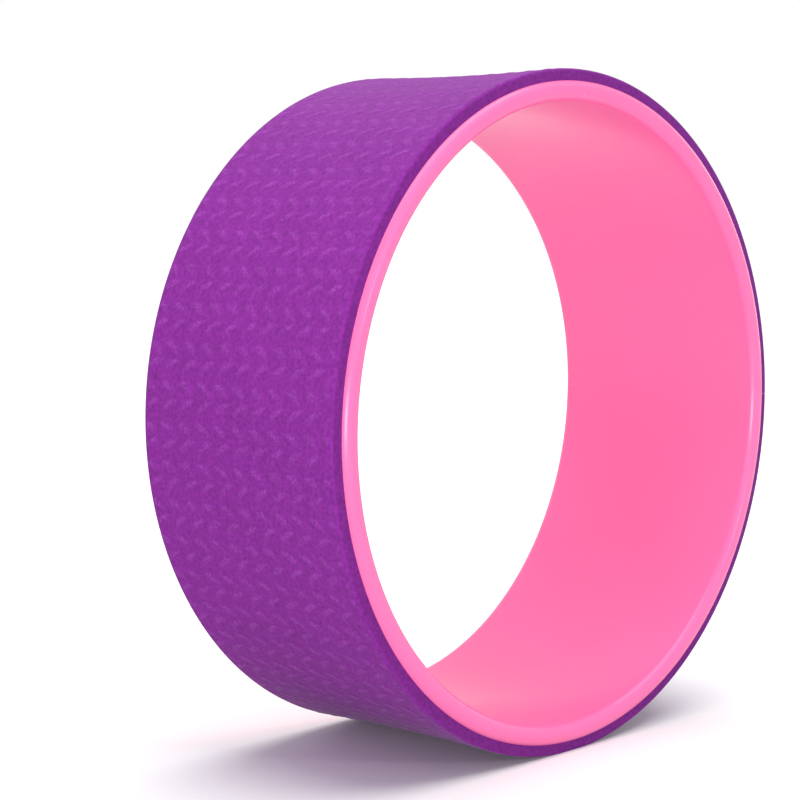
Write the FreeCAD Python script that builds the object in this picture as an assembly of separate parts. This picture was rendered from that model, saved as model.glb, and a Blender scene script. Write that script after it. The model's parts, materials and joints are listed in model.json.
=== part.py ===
"""Yoga wheel: a rigid plastic hoop with rounded lips, wrapped in one strip of foam mat.

The wheel's axis is Y, its centre is the origin, and Z points up as it stands on its tread. Lengths are
in millimetres. Profiles are drawn in the X-Y plane, where X is the radius, and turned about Y.
"""

import FreeCAD
import Part

import math
import os

# The whole wheel
OUTER_DIAMETER = 305.0
HOOP_WIDTH = 119.0

# Hoop
HOOP_WALL = 9.1
LIP_INNER_ROUND = 4.0
LIP_OUTER_ROUND = 3.8

# Mat: one strip wrapped round the hoop, with its ends butted together
MAT_THICKNESS = 4.8
MAT_SETBACK = 2.5
MAT_EDGE_ROUND = 1.6
CONTACT_FLAT_DEPTH = 0.7
SEAM_GAP = 0.4

# Bonding film between the hoop and the mat
FILM_THICKNESS = 0.2
FILM_CLEARANCE = 0.1
FILM_SETBACK = 1.5

# How far a cutting block runs past the faces that it cuts
OVERRUN = 2.0

# Where a quarter round's middle lies, as a share of its radius from the sharp corner
ARC_MIDDLE_SHARE = 1 - math.sqrt(0.5)

CENTRE = FreeCAD.Vector(0, 0, 0)
AXIS = FreeCAD.Vector(0, 1, 0)
FULL_TURN_DEG = 360

# Radii and half widths that the pieces share
MAT_OUTER_RADIUS = OUTER_DIAMETER / 2
MAT_INNER_RADIUS = MAT_OUTER_RADIUS - MAT_THICKNESS
FILM_OUTER_RADIUS = MAT_INNER_RADIUS - FILM_CLEARANCE
HOOP_OUTER_RADIUS = FILM_OUTER_RADIUS - FILM_THICKNESS
HOOP_INNER_RADIUS = HOOP_OUTER_RADIUS - HOOP_WALL
HOOP_HALF_WIDTH = HOOP_WIDTH / 2
MAT_HALF_WIDTH = HOOP_HALF_WIDTH - MAT_SETBACK
FILM_HALF_WIDTH = MAT_HALF_WIDTH - FILM_SETBACK


def ring(inner_radius, outer_radius, half_width, inner_round=0, outer_round=0):
    """A ring about the wheel's axis, with its inner and outer corners rounded where a size is given."""
    ways = [
        FreeCAD.Vector(1, 0, 0),
        FreeCAD.Vector(0, 1, 0),
        FreeCAD.Vector(-1, 0, 0),
        FreeCAD.Vector(0, -1, 0),
    ]
    corners = [
        (FreeCAD.Vector(inner_radius, -half_width, 0), inner_round),
        (FreeCAD.Vector(outer_radius, -half_width, 0), outer_round),
        (FreeCAD.Vector(outer_radius, half_width, 0), outer_round),
        (FreeCAD.Vector(inner_radius, half_width, 0), inner_round),
    ]
    turns = []
    for k, (corner, size) in enumerate(corners):
        arriving = ways[k - 1]
        leaving = ways[k]
        start = corner - arriving * size
        middle = corner + (leaving - arriving) * (size * ARC_MIDDLE_SHARE)
        end = corner + leaving * size
        turns.append((start, middle, end))
    edges = []
    for k, (start, middle, end) in enumerate(turns):
        if corners[k][1] > 0:
            edges.append(Part.Arc(start, middle, end).toShape())
        next_start = turns[(k + 1) % len(turns)][0]
        edges.append(Part.LineSegment(end, next_start).toShape())
    return Part.Face(Part.Wire(edges)).revolve(CENTRE, AXIS, FULL_TURN_DEG)


def whole_mat():
    """The mat as a closed ring, before its seam and its flat are cut."""
    return ring(MAT_INNER_RADIUS, MAT_OUTER_RADIUS, MAT_HALF_WIDTH, outer_round=MAT_EDGE_ROUND)


def seam_slot():
    """The gap between the mat's two ends: through the mat at +X, along its whole width."""
    depth = MAT_THICKNESS + 2 * OVERRUN
    length = HOOP_WIDTH + 2 * OVERRUN
    corner = FreeCAD.Vector(MAT_INNER_RADIUS - OVERRUN, -length / 2, -SEAM_GAP / 2)
    return Part.makeBox(depth, length, SEAM_GAP, corner)


def floor_block():
    """What the floor takes away where the foam flattens under the wheel."""
    length = HOOP_WIDTH + 2 * OVERRUN
    corner = FreeCAD.Vector(-MAT_OUTER_RADIUS, -length / 2, -MAT_OUTER_RADIUS - OVERRUN)
    return Part.makeBox(OUTER_DIAMETER, length, OVERRUN + CONTACT_FLAT_DEPTH, corner)


def hoop():
    """The rigid hoop, with its lips rounded inside and outside."""
    return ring(HOOP_INNER_RADIUS, HOOP_OUTER_RADIUS, HOOP_HALF_WIDTH, LIP_INNER_ROUND, LIP_OUTER_ROUND)


def bonding_film():
    """The film that bonds the mat to the hoop."""
    return ring(HOOP_OUTER_RADIUS, FILM_OUTER_RADIUS, FILM_HALF_WIDTH)


def tread_mat():
    """The foam strip, open at its seam and flat where it stands."""
    return whole_mat().cut(seam_slot()).cut(floor_block())


def seam_bond():
    """The glue line that joins the mat's two ends."""
    return whole_mat().common(seam_slot())


def main():
    os.makedirs("parts", exist_ok=True)
    for make in (hoop, bonding_film, tread_mat, seam_bond):
        shape = make()
        if len(shape.Solids) != 1:
            raise RuntimeError(f"{make.__name__} isn't one solid")
        solid = shape.Solids[0]
        solid.exportStep(os.path.join("parts", make.__name__ + ".step"))
        print(make.__name__, "valid", solid.isValid(), "volume", round(solid.Volume), "mm3")


main()
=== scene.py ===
"""A yoga wheel: a pink plastic hoop wrapped in a purple embossed foam mat, on a white studio floor.

Metres, in the model's own frame: the wheel's axis is Y, its centre is the origin, and Z points up. The near
side is -Y and the far side +Y.
"""
import json
import math

import bpy
import numpy as np
from mathutils import Matrix, Vector


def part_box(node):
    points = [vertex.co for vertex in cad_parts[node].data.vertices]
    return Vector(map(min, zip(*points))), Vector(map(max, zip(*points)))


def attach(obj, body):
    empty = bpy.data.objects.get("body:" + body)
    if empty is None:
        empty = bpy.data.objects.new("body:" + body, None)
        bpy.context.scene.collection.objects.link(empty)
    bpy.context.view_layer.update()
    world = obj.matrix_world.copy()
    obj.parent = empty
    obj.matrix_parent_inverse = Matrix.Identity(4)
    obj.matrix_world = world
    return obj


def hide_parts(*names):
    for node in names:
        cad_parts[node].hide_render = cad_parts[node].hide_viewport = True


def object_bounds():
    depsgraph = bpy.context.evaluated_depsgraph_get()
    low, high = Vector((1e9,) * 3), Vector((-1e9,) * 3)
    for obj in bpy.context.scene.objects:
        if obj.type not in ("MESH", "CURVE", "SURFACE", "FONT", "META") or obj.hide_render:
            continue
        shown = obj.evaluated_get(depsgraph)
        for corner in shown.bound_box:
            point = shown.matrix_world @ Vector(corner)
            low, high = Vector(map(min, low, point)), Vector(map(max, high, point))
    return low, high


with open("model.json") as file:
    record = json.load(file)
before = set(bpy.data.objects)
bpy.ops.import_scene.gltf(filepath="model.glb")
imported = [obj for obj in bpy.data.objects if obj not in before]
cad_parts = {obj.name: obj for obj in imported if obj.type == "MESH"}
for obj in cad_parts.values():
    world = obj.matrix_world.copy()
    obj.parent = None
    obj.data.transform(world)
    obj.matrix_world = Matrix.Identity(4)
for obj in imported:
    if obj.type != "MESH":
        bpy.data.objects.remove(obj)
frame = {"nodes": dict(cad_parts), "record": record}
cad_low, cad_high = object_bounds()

# Camera
CAMERA_AZIMUTH_DEG = -46.9
CAMERA_ELEVATION_DEG = 5.16
CAMERA_DISTANCE = 0.98175
CAMERA_AIM_RIGHT = -0.03598
CAMERA_AIM_UP = 0.00315
CAMERA_LENS_MM = 95.53
CAMERA_SENSOR_MM = 36.0

# Edges that turn more than this stay sharp
SHARP_ANGLE_DEG = 40

# The corners of a section, in the order in which a turn from outwards to the far side meets them
OUTER_FAR, INNER_FAR, INNER_NEAR, OUTER_NEAR = range(4)
QUARTER_TURN_DEG = 90

# Sizes that the model gives: the seam runs through the mat at +X, so its box has the mat's section
MM_PER_METRE = 1000
mounts = {mount["name"]: mount for mount in frame["record"]["mounts"]}
seam_low, seam_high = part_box("seam_bond")
_, hoop_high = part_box("hoop")
HOOP_INNER_RADIUS = mounts["hoop_bore"]["dims"]["r_mm"] / MM_PER_METRE
HOOP_OUTER_RADIUS = hoop_high[0]
HOOP_HALF_WIDTH = hoop_high[1]
MAT_INNER_RADIUS = seam_low[0]
MAT_OUTER_RADIUS = seam_high[0]
MAT_HALF_WIDTH = seam_high[1]
SEAM_GAP = seam_high[2] - seam_low[2]
MAT_FLOOR = cad_low[2]

# Hoop
LIP_INNER_ROUND = 0.004
LIP_OUTER_ROUND = 0.0038
HOOP_STEPS_AROUND = 360
HOOP_STEPS_ROUND = 12
HOOP_STEPS_WALL = 24

# Mat: its inner corners dip to meet the hoop where the lips round away
MAT_EDGE_ROUND = 0.0016
MAT_CORNER_DIP = 0.00053
MAT_CORNER_DIP_WIDTH = 0.0015
MAT_WAIST = 0.0012
# Where on the edge round the painted shade of the mat's sides begins
MAT_SIDE_START_SHARE = 0.5
SEAM_RECESS = 0.0003
MAT_STEPS_AROUND = 896
MAT_STEPS_ACROSS = 96
MAT_STEPS_ROUND = 4

# Embossed net on the mat: columns across the width, repeats around the wheel
NET_COLUMNS = 10.5
NET_REPEATS = 56
NET_HEIGHT = 0.00024
NET_HALF_WIDTH = 0.0032
NET_TAIL_HALF_WIDTH = 0.0014
NET_TAIL_HEIGHT_SHARE = 0.22
NET_CREST_SHARE = 0.4
NET_EDGE_FADE = 0.0015

# The net's strands zigzag round the wheel. Each leg's line is given as shares of one cell: places around it,
# places across it there, and the place around it of the lozenge that the leg carries
BACKSLASH_AROUND_SHARE = (-0.13, 0.31)
BACKSLASH_ACROSS_SHARE = (0.21, -0.56)
BACKSLASH_MIDDLE_SHARE = 0.0
SLASH_AROUND_SHARE = (0.31, 0.56, 0.87)
SLASH_ACROSS_SHARE = (-0.56, 0.0, 0.21)
SLASH_MIDDLE_SHARE = 0.43
LOZENGE_REACH_SHARE = 0.28
STRAND_END_SHARE = 0.06

# Colours, linear
PINK = (0.98, 0.180, 0.438, 1)
PINK_DEEP = (0.97, 0.165, 0.418, 1)
PURPLE_GROUND = (0.247, 0.027, 0.306, 1)
# Painted highlight: the paler purple of the raised net
PURPLE_STRAND_HIGHLIGHT = (0.325, 0.055, 0.400, 1)
GLUE = (0.22, 0.07, 0.26, 1)
GLUE_DARK = (0.16, 0.05, 0.19, 1)
WHITE = (1, 1, 1, 1)

# The part of a noise texture's range over which one colour drifts into another
DRIFT_START_SHARE = 0.3
DRIFT_END_SHARE = 0.7

# Plastic: texture scales are in cells per metre, and ranges are from low to high
PLASTIC_DRIFT_SCALE = 9
PLASTIC_DRIFT_DETAIL = 2
PLASTIC_SCUFF_SCALE = 60
PLASTIC_SCUFF_DETAIL = 5
PLASTIC_PEEL_SCALE = 420
PLASTIC_PEEL_DETAIL = 2
PLASTIC_PEEL_HEIGHT = 0.00006
PLASTIC_PEEL_STRENGTH = 0.25
PLASTIC_ROUGHNESS = (0.20, 0.30)
PLASTIC_IOR = 1.45
PLASTIC_SPECULAR = 0.35

# Foam: the side tone, painted shade on the mat's sides, is given for the tread first, then for the mat's
# sides
FOAM_CLOUD_SCALE = 35
FOAM_CLOUD_DETAIL = 3
FOAM_CLOUD_TONE = (0.93, 1.07)
FOAM_MOTTLE_SCALE = 600
FOAM_MOTTLE_DETAIL = 3
FOAM_MOTTLE_TONE = (0.52, 1.48)
FOAM_MOTTLE_HEIGHT = 0.00012
FOAM_MOTTLE_STRENGTH = 0.5
FOAM_GRAIN_SCALE = 2300
FOAM_GRAIN_HEIGHT = 0.00010
FOAM_GRAIN_STRENGTH = 0.45
FOAM_CRACK_SCALE = 650
FOAM_CRACK_WIDTH_SHARE = 0.18
FOAM_CRACK_HEIGHT = 0.00015
FOAM_CRACK_STRENGTH = 0.5
FOAM_SIDE_SHADE = (1.0, 0.72)
FOAM_ROUGHNESS = (0.62, 0.82)
FOAM_SHEEN = 0.085
FOAM_SHEEN_ROUGHNESS = 0.4
FOAM_SPECULAR = 0.04

# Adhesive
GLUE_DRIFT_SCALE = 300
GLUE_DRIFT_DETAIL = 4
GLUE_ROUGHNESS = (0.35, 0.6)
GLUE_HEIGHT = 0.0001
GLUE_STRENGTH = 0.4

# Studio: the floor is white where it is seen, and sends less than that back as light
FLOOR_HALF_SIZE = 40.0
FLOOR_SEEN = 1.0
FLOOR_BOUNCE = 0.53
FLOOR_ROUGHNESS = 1.0
FLOOR_SPECULAR = 0.0
WORLD_SEEN = 1.0
WORLD_LIGHT = 0.43
KEY_SUN_STRENGTH = 2.5
KEY_SUN_ANGLE_DEG = 60
KEY_SUN_FROM = (0.1, -0.05, 1.0)

# Softboxes: place, width, height and power in watts
SOFTBOXES = {
    "softbox_left": ((-1.2, -1.1, 0.0), 0.8, 0.2, 15.0),
    "softbox_front": ((0.1, -1.7, 0.4), 0.12, 0.12, 3.0),
    "softbox_right": ((1.3, 0.0, 0.2), 0.6, 0.5, 1.5),
    "softbox_back": ((0.0, 1.7, 0.6), 2.0, 1.2, 4.5),
}


def new_object(name, data):
    """An object in the scene that shows the data."""
    made = bpy.data.objects.new(name, data)
    bpy.context.scene.collection.objects.link(made)
    return made


def add_camera():
    """The camera, at the angle from which the wheel is shown."""
    azimuth = math.radians(CAMERA_AZIMUTH_DEG)
    elevation = math.radians(CAMERA_ELEVATION_DEG)
    back = Vector((
        math.sin(azimuth) * math.cos(elevation),
        -math.cos(azimuth) * math.cos(elevation),
        math.sin(elevation),
    ))
    right = Vector((math.cos(azimuth), math.sin(azimuth), 0))
    up = back.cross(right)
    data = bpy.data.cameras.new("camera")
    data.lens = CAMERA_LENS_MM
    data.sensor_width = CAMERA_SENSOR_MM
    camera = new_object("camera", data)
    turn = Matrix((right, up, back)).transposed().to_4x4()
    aim = right * CAMERA_AIM_RIGHT + up * CAMERA_AIM_UP
    camera.matrix_world = Matrix.Translation(aim + back * CAMERA_DISTANCE) @ turn
    bpy.context.scene.camera = camera


def new_material(name):
    """A material, its node tree and the inputs of its principled shader."""
    material = bpy.data.materials.new(name)
    material.use_nodes = True
    tree = material.node_tree
    return material, tree, tree.nodes["Principled BSDF"].inputs


# From object_places to bump, each function adds a node to a tree and returns the node's output socket


def object_places(tree):
    """Places in the object's own space, for textures."""
    return tree.nodes.new("ShaderNodeTexCoord").outputs["Object"]


def noise(tree, places, scale, detail):
    """A noise texture."""
    node = tree.nodes.new("ShaderNodeTexNoise")
    node.inputs["Scale"].default_value = scale
    node.inputs["Detail"].default_value = detail
    tree.links.new(places, node.inputs["Vector"])
    return node.outputs["Fac"]


def cells(tree, places, scale, feature):
    """A cell texture."""
    node = tree.nodes.new("ShaderNodeTexVoronoi")
    node.feature = feature
    node.inputs["Scale"].default_value = scale
    tree.links.new(places, node.inputs["Vector"])
    return node.outputs["Distance"]


def ramp(tree, source, low, high, start=DRIFT_START_SHARE, end=DRIFT_END_SHARE):
    """A colour ramp between two colours, driven by a value."""
    node = tree.nodes.new("ShaderNodeValToRGB")
    node.color_ramp.elements[0].position = start
    node.color_ramp.elements[0].color = low
    node.color_ramp.elements[1].position = end
    node.color_ramp.elements[1].color = high
    tree.links.new(source, node.inputs["Fac"])
    return node.outputs["Color"]


def value_range(tree, source, span, top=1):
    """A value from zero to its top, mapped to a span."""
    node = tree.nodes.new("ShaderNodeMapRange")
    node.inputs["From Max"].default_value = top
    node.inputs["To Min"].default_value = span[0]
    node.inputs["To Max"].default_value = span[1]
    tree.links.new(source, node.inputs["Value"])
    return node.outputs["Result"]


def combined(tree, operation, first, second, clamp=False):
    """Two values added or multiplied, kept between 0 and 1 where asked."""
    node = tree.nodes.new("ShaderNodeMath")
    node.operation = operation
    node.use_clamp = clamp
    tree.links.new(first, node.inputs[0])
    tree.links.new(second, node.inputs[1])
    return node.outputs["Value"]


def scaled(tree, colour, factor):
    """A colour multiplied by a value."""
    node = tree.nodes.new("ShaderNodeVectorMath")
    node.operation = "SCALE"
    tree.links.new(colour, node.inputs[0])
    tree.links.new(factor, node.inputs["Scale"])
    return node.outputs["Vector"]


def attribute(tree, name):
    """A value stored on the mesh's points."""
    node = tree.nodes.new("ShaderNodeAttribute")
    node.attribute_name = name
    return node.outputs["Fac"]


def bump(tree, source, distance, strength, below=None):
    """A bumpy surface, optionally over another one."""
    node = tree.nodes.new("ShaderNodeBump")
    node.inputs["Distance"].default_value = distance
    node.inputs["Strength"].default_value = strength
    tree.links.new(source, node.inputs["Height"])
    if below is not None:
        tree.links.new(below, node.inputs["Normal"])
    return node.outputs["Normal"]


def plastic_material():
    """Pink moulded plastic: smooth and semi-gloss, with faint colour drift and orange peel."""
    material, tree, inputs = new_material("hoop_plastic")
    places = object_places(tree)
    drift = noise(tree, places, PLASTIC_DRIFT_SCALE, PLASTIC_DRIFT_DETAIL)
    scuffs = noise(tree, places, PLASTIC_SCUFF_SCALE, PLASTIC_SCUFF_DETAIL)
    peel = noise(tree, places, PLASTIC_PEEL_SCALE, PLASTIC_PEEL_DETAIL)
    relief = bump(tree, peel, PLASTIC_PEEL_HEIGHT, PLASTIC_PEEL_STRENGTH)
    tree.links.new(ramp(tree, drift, PINK_DEEP, PINK), inputs["Base Color"])
    tree.links.new(value_range(tree, scuffs, PLASTIC_ROUGHNESS), inputs["Roughness"])
    tree.links.new(relief, inputs["Normal"])
    inputs["IOR"].default_value = PLASTIC_IOR
    inputs["Specular IOR Level"].default_value = PLASTIC_SPECULAR
    return material


def foam_net(tree, places):
    """How far the net is raised, from 0 to 1, broken up by cracks."""
    crack = cells(tree, places, FOAM_CRACK_SCALE, "DISTANCE_TO_EDGE")
    plate = value_range(tree, crack, (0, 1), FOAM_CRACK_WIDTH_SHARE)
    return combined(tree, "MULTIPLY", attribute(tree, "emboss"), plate)


def foam_tone(tree, places, mottle):
    """How light the foam is: it drifts from place to place, is mottled, and has painted shade that darkens
    the mat's sides.
    """
    cloud = noise(tree, places, FOAM_CLOUD_SCALE, FOAM_CLOUD_DETAIL)
    cloud_tone = value_range(tree, cloud, FOAM_CLOUD_TONE)
    mottle_tone = value_range(tree, mottle, FOAM_MOTTLE_TONE)
    # Painted shade: the mat's sides are coloured darker, standing in for the shade they fall in
    side_shade = value_range(tree, attribute(tree, "side"), FOAM_SIDE_SHADE)
    patchy = combined(tree, "MULTIPLY", cloud_tone, mottle_tone)
    return combined(tree, "MULTIPLY", patchy, side_shade)


def foam_material():
    """Purple closed-cell foam: a fine leathery grain, and a cracked net with a painted highlight that
    colours it paler where it is raised.
    """
    material, tree, inputs = new_material("mat_foam")
    places = object_places(tree)
    raised = foam_net(tree, places)
    mottle = noise(tree, places, FOAM_MOTTLE_SCALE, FOAM_MOTTLE_DETAIL)
    grain = cells(tree, places, FOAM_GRAIN_SCALE, "F1")
    # Painted highlight: the raised net is coloured paler than the ground
    net = ramp(tree, raised, PURPLE_GROUND, PURPLE_STRAND_HIGHLIGHT, start=0, end=1)
    skin = bump(tree, grain, FOAM_GRAIN_HEIGHT, FOAM_GRAIN_STRENGTH)
    lumps = bump(tree, mottle, FOAM_MOTTLE_HEIGHT, FOAM_MOTTLE_STRENGTH, skin)
    plates = bump(tree, raised, FOAM_CRACK_HEIGHT, FOAM_CRACK_STRENGTH, lumps)
    tree.links.new(scaled(tree, net, foam_tone(tree, places, mottle)), inputs["Base Color"])
    tree.links.new(value_range(tree, grain, FOAM_ROUGHNESS), inputs["Roughness"])
    tree.links.new(plates, inputs["Normal"])
    inputs["Sheen Weight"].default_value = FOAM_SHEEN
    inputs["Sheen Roughness"].default_value = FOAM_SHEEN_ROUGHNESS
    inputs["Specular IOR Level"].default_value = FOAM_SPECULAR
    return material


def glue_material():
    """Thin cured adhesive, slightly uneven."""
    material, tree, inputs = new_material("adhesive")
    drift = noise(tree, object_places(tree), GLUE_DRIFT_SCALE, GLUE_DRIFT_DETAIL)
    tree.links.new(ramp(tree, drift, GLUE_DARK, GLUE), inputs["Base Color"])
    tree.links.new(value_range(tree, drift, GLUE_ROUGHNESS), inputs["Roughness"])
    tree.links.new(bump(tree, drift, GLUE_HEIGHT, GLUE_STRENGTH), inputs["Normal"])
    return material


def seen_share(tree):
    """1 for rays from the camera, or seen in gloss or through glass, and 0 for the others."""
    path = tree.nodes.new("ShaderNodeLightPath").outputs
    seen = combined(tree, "ADD", path["Is Camera Ray"], path["Is Glossy Ray"])
    return combined(tree, "ADD", seen, path["Is Transmission Ray"], clamp=True)


def floor_material():
    """A floor that is white where it is seen lit, and that takes the shadow."""
    material, tree, inputs = new_material("floor")
    level = value_range(tree, seen_share(tree), (FLOOR_BOUNCE, FLOOR_SEEN))
    tree.links.new(level, inputs["Base Color"])
    inputs["Roughness"].default_value = FLOOR_ROUGHNESS
    inputs["Specular IOR Level"].default_value = FLOOR_SPECULAR
    return material


def mesh_object(name, points, faces):
    """A mesh piece, smooth but for its sharp edges."""
    mesh = bpy.data.meshes.new(name)
    mesh.from_pydata(np.reshape(points, (-1, 3)).tolist(), [], faces)
    mesh.validate()
    mesh.shade_smooth()
    mesh.set_sharp_from_angle(angle=math.radians(SHARP_ANGLE_DEG))
    return new_object(name, mesh)


def quarter_round(centre, radius, corner, steps):
    """A rounded corner in a profile of (radius, place along the axis), with both of its ends."""
    start = corner * QUARTER_TURN_DEG
    angles = np.radians(np.linspace(start, start + QUARTER_TURN_DEG, steps + 1))
    return [(centre[0] + radius * math.cos(t), centre[1] + radius * math.sin(t)) for t in angles]


def section_grid(profile, angles):
    """The radii, places along the axis and angles of a section that stands at each angle, a row for each."""
    shape = (len(angles), len(profile))
    radius = np.broadcast_to(profile[:, 0], shape)
    along = np.broadcast_to(profile[:, 1], shape)
    angle = np.broadcast_to(angles[:, None], shape)
    return radius, along, angle


def polar_points(radius, along, angle):
    """Points at radii, places along the axis and angles round it."""
    return np.stack([np.cos(angle) * radius, along, np.sin(angle) * radius], axis=-1)


def bands(rows, columns, closed=False):
    """Faces between closed rows of points, and from the last row to the first where asked."""
    faces = []
    for row in range(rows if closed else rows - 1):
        here = row * columns
        there = ((row + 1) % rows) * columns
        for column in range(columns):
            beside = (column + 1) % columns
            faces.append((here + column, here + beside, there + beside, there + column))
    return faces


def end_caps(rows, columns):
    """The faces that fill the first row and the last one."""
    last = (rows - 1) * columns
    return [tuple(reversed(range(columns))), tuple(range(last, last + columns))]


def hoop_profile():
    """The hoop's closed section, from the outer face's far end round to its near end."""
    outer = HOOP_OUTER_RADIUS - LIP_OUTER_ROUND
    inner = HOOP_INNER_RADIUS + LIP_INNER_ROUND
    outer_along = HOOP_HALF_WIDTH - LIP_OUTER_ROUND
    inner_along = HOOP_HALF_WIDTH - LIP_INNER_ROUND
    wall = np.linspace(inner_along, -inner_along, HOOP_STEPS_WALL + 1)[1:-1]
    profile = quarter_round((outer, outer_along), LIP_OUTER_ROUND, OUTER_FAR, HOOP_STEPS_ROUND)
    profile += quarter_round((inner, inner_along), LIP_INNER_ROUND, INNER_FAR, HOOP_STEPS_ROUND)
    profile += [(HOOP_INNER_RADIUS, along) for along in wall]
    profile += quarter_round((inner, -inner_along), LIP_INNER_ROUND, INNER_NEAR, HOOP_STEPS_ROUND)
    profile += quarter_round((outer, -outer_along), LIP_OUTER_ROUND, OUTER_NEAR, HOOP_STEPS_ROUND)
    return np.array(profile)


def make_hoop():
    """The hoop, turned from its section."""
    angles = np.linspace(0, math.tau, HOOP_STEPS_AROUND, endpoint=False)
    radius, along, angle = section_grid(hoop_profile(), angles)
    faces = bands(*radius.shape, closed=True)
    return mesh_object("hoop_shell", polar_points(radius, along, angle), faces)


def smooth_step(share):
    """An even rise from 0 to 1, level at both ends."""
    share = np.clip(share, 0, 1)
    return share * share * (3 - 2 * share)


def strand(across, around, line_around, line_across, middle, cell_width):
    """How far one family of the net's strands is raised, from 0 to 1, at places given in cells."""
    start = line_around[0]
    end = line_around[-1]
    turned = (around - start) % 1 + start
    past_line = (across - np.interp(turned, line_around, line_across)) % 1
    aside = np.minimum(past_line, 1 - past_line) * cell_width
    swell = smooth_step(1 - np.abs(turned - middle) / LOZENGE_REACH_SHARE)
    half_width = NET_TAIL_HALF_WIDTH + (NET_HALF_WIDTH - NET_TAIL_HALF_WIDTH) * swell
    height = NET_TAIL_HEIGHT_SHARE + (1 - NET_TAIL_HEIGHT_SHARE) * swell
    rise = smooth_step((turned - start) / STRAND_END_SHARE)
    fall = smooth_step((end - turned) / STRAND_END_SHARE)
    return height * rise * fall * smooth_step((1 - aside / half_width) / (1 - NET_CREST_SHARE))


def net_height(along, angle):
    """How far the embossed net is raised, from 0 to 1, at places along the axis and angles round it."""
    cell_width = 2 * MAT_HALF_WIDTH / NET_COLUMNS
    across = along / cell_width
    around = angle / math.tau * NET_REPEATS
    slash = strand(across, around, SLASH_AROUND_SHARE, SLASH_ACROSS_SHARE, SLASH_MIDDLE_SHARE, cell_width)
    backslash = strand(across, around, BACKSLASH_AROUND_SHARE, BACKSLASH_ACROSS_SHARE,
                       BACKSLASH_MIDDLE_SHARE, cell_width)
    from_edge = MAT_HALF_WIDTH - MAT_EDGE_ROUND - np.abs(along)
    return np.maximum(slash, backslash) * smooth_step(from_edge / NET_EDGE_FADE)


def mat_profile():
    """The mat's closed section, from its near inner corner round the tread to its far one."""
    tread_half = MAT_HALF_WIDTH - MAT_EDGE_ROUND
    corner = MAT_OUTER_RADIUS - MAT_EDGE_ROUND
    dip_radius = MAT_INNER_RADIUS - MAT_CORNER_DIP
    dip_start = MAT_HALF_WIDTH - MAT_CORNER_DIP_WIDTH
    near = quarter_round((corner, -tread_half), MAT_EDGE_ROUND, OUTER_NEAR, MAT_STEPS_ROUND)
    far = quarter_round((corner, tread_half), MAT_EDGE_ROUND, OUTER_FAR, MAT_STEPS_ROUND)
    tread_places = np.linspace(-tread_half, tread_half, MAT_STEPS_ACROSS + 1)
    tread = [(MAT_OUTER_RADIUS, along) for along in tread_places]
    profile = [(MAT_INNER_RADIUS, -dip_start), (dip_radius, -MAT_HALF_WIDTH)]
    profile += near[:-1] + tread + far[1:]
    profile += [(dip_radius, MAT_HALF_WIDTH), (MAT_INNER_RADIUS, dip_start)]
    return np.array(profile)


def waisted(radius, along):
    """Radii drawn in towards the middle of the mat's width, most of all at its tread."""
    outside = smooth_step((radius - MAT_INNER_RADIUS) / (MAT_OUTER_RADIUS - MAT_INNER_RADIUS))
    return radius - outside * MAT_WAIST * (1 - (along / MAT_HALF_WIDTH) ** 2)


def store_on_points(piece, name, values):
    """Keeps a value for each of a mesh's points, for its material to read."""
    stored = piece.data.attributes.new(name, "FLOAT", "POINT")
    stored.data.foreach_set("value", values.reshape(-1).astype(np.float32))


def make_mat():
    """The foam strip: a grid with the net raised out of it, flat at the floor and open at its seam."""
    half_gap = SEAM_GAP / 2 / MAT_OUTER_RADIUS
    angles = np.linspace(half_gap, math.tau - half_gap, MAT_STEPS_AROUND + 1)
    plain_radius, along, angle = section_grid(mat_profile(), angles)
    raised = net_height(along, angle) * (plain_radius > MAT_OUTER_RADIUS - NET_HEIGHT)
    points = polar_points(waisted(plain_radius, along) + raised * NET_HEIGHT, along, angle)
    points[..., 2] = np.maximum(points[..., 2], MAT_FLOOR)
    faces = bands(*along.shape) + end_caps(*along.shape)
    mat = mesh_object("foam_mat", points, faces)
    # The side share marks where painted shade darkens the mat's sides
    over_edge = (np.abs(along) - MAT_HALF_WIDTH + MAT_EDGE_ROUND) / MAT_EDGE_ROUND
    side = smooth_step((over_edge - MAT_SIDE_START_SHARE) / (1 - MAT_SIDE_START_SHARE))
    store_on_points(mat, "emboss", raised)
    store_on_points(mat, "side", side)
    return mat


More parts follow.
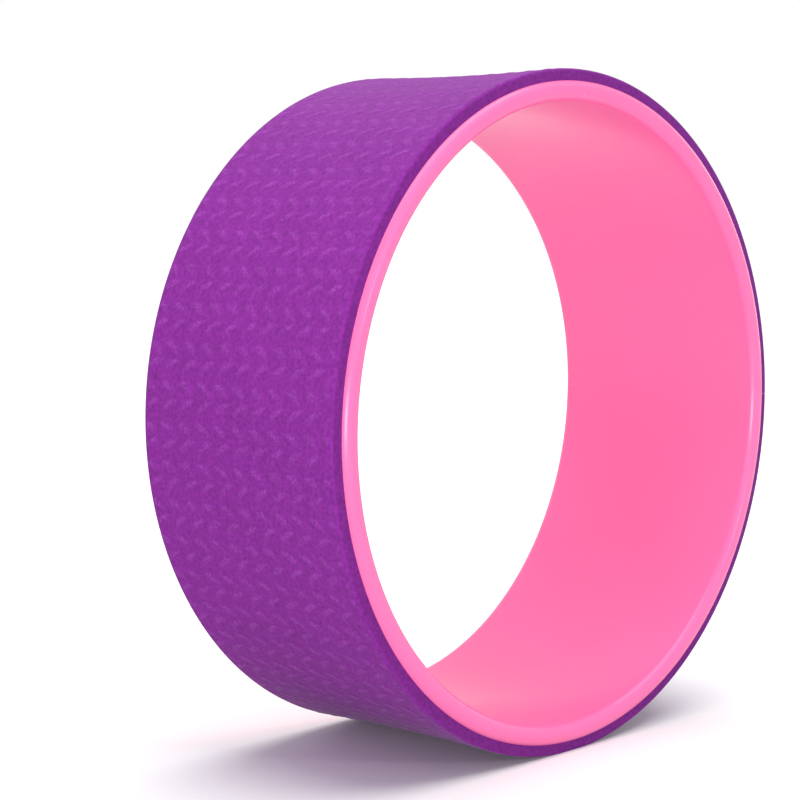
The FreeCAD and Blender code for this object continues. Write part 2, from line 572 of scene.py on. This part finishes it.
def make_seam():
    """The glue line between the mat's two ends, a little below its tread."""
    plain_radius, along = mat_profile().T
    radius = waisted(plain_radius, along) - SEAM_RECESS * (plain_radius > MAT_INNER_RADIUS)
    ends = (-SEAM_GAP / 2, SEAM_GAP / 2)
    points = np.stack([np.stack([radius, along, np.full_like(radius, z)], axis=-1) for z in ends])
    rows_columns = points.shape[:2]
    faces = bands(*rows_columns) + end_caps(*rows_columns)
    return mesh_object("seam_glue", points, faces)


def add_floor():
    """The studio floor that the wheel stands on."""
    half = FLOOR_HALF_SIZE
    places = [(-half, -half), (half, -half), (half, half), (-half, half)]
    corners = [(x, y, MAT_FLOOR) for x, y in places]
    floor = mesh_object("floor", corners, [(0, 1, 2, 3)])
    floor.data.materials.append(floor_material())


def add_lamp(name, kind, place):
    """A lamp that points at the wheel's centre."""
    data = bpy.data.lights.new(name, kind)
    lamp = new_object(name, data)
    lamp.location = place
    lamp.rotation_euler = Vector(place).to_track_quat("Z", "Y").to_euler()
    return data


def add_light():
    """A wide sun from above, and the softboxes round the wheel."""
    key = add_lamp("key", "SUN", KEY_SUN_FROM)
    key.energy = KEY_SUN_STRENGTH
    key.angle = math.radians(KEY_SUN_ANGLE_DEG)
    for name, (place, width, height, power) in SOFTBOXES.items():
        softbox = add_lamp(name, "AREA", place)
        softbox.shape = "RECTANGLE"
        softbox.size = width
        softbox.size_y = height
        softbox.energy = power


def add_world():
    """White where it is seen, and a soft even light for everything else."""
    world = bpy.data.worlds.new("studio")
    bpy.context.scene.world = world
    world.use_nodes = True
    tree = world.node_tree
    background = tree.nodes["Background"]
    background.inputs["Color"].default_value = WHITE
    level = value_range(tree, seen_share(tree), (WORLD_LIGHT, WORLD_SEEN))
    tree.links.new(level, background.inputs["Strength"])


def dress(piece, node, material):
    """Puts a piece in its CAD node's place, on the same body."""
    piece.data.materials.append(material)
    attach(piece, "root")
    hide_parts(node)


def paint_node(name, material):
    """Gives a CAD node that stays a better material."""
    mesh = frame["nodes"][name].data
    mesh.materials.clear()
    mesh.materials.append(material)


bpy.context.scene.view_settings.view_transform = "Standard"
add_camera()
add_floor()
add_world()
add_light()

hoop = make_hoop()
dress(hoop, "hoop", plastic_material())

mat = make_mat()
dress(mat, "tread_mat", foam_material())

glue = glue_material()
seam = make_seam()
dress(seam, "seam_bond", glue)
paint_node("bonding_film", glue)
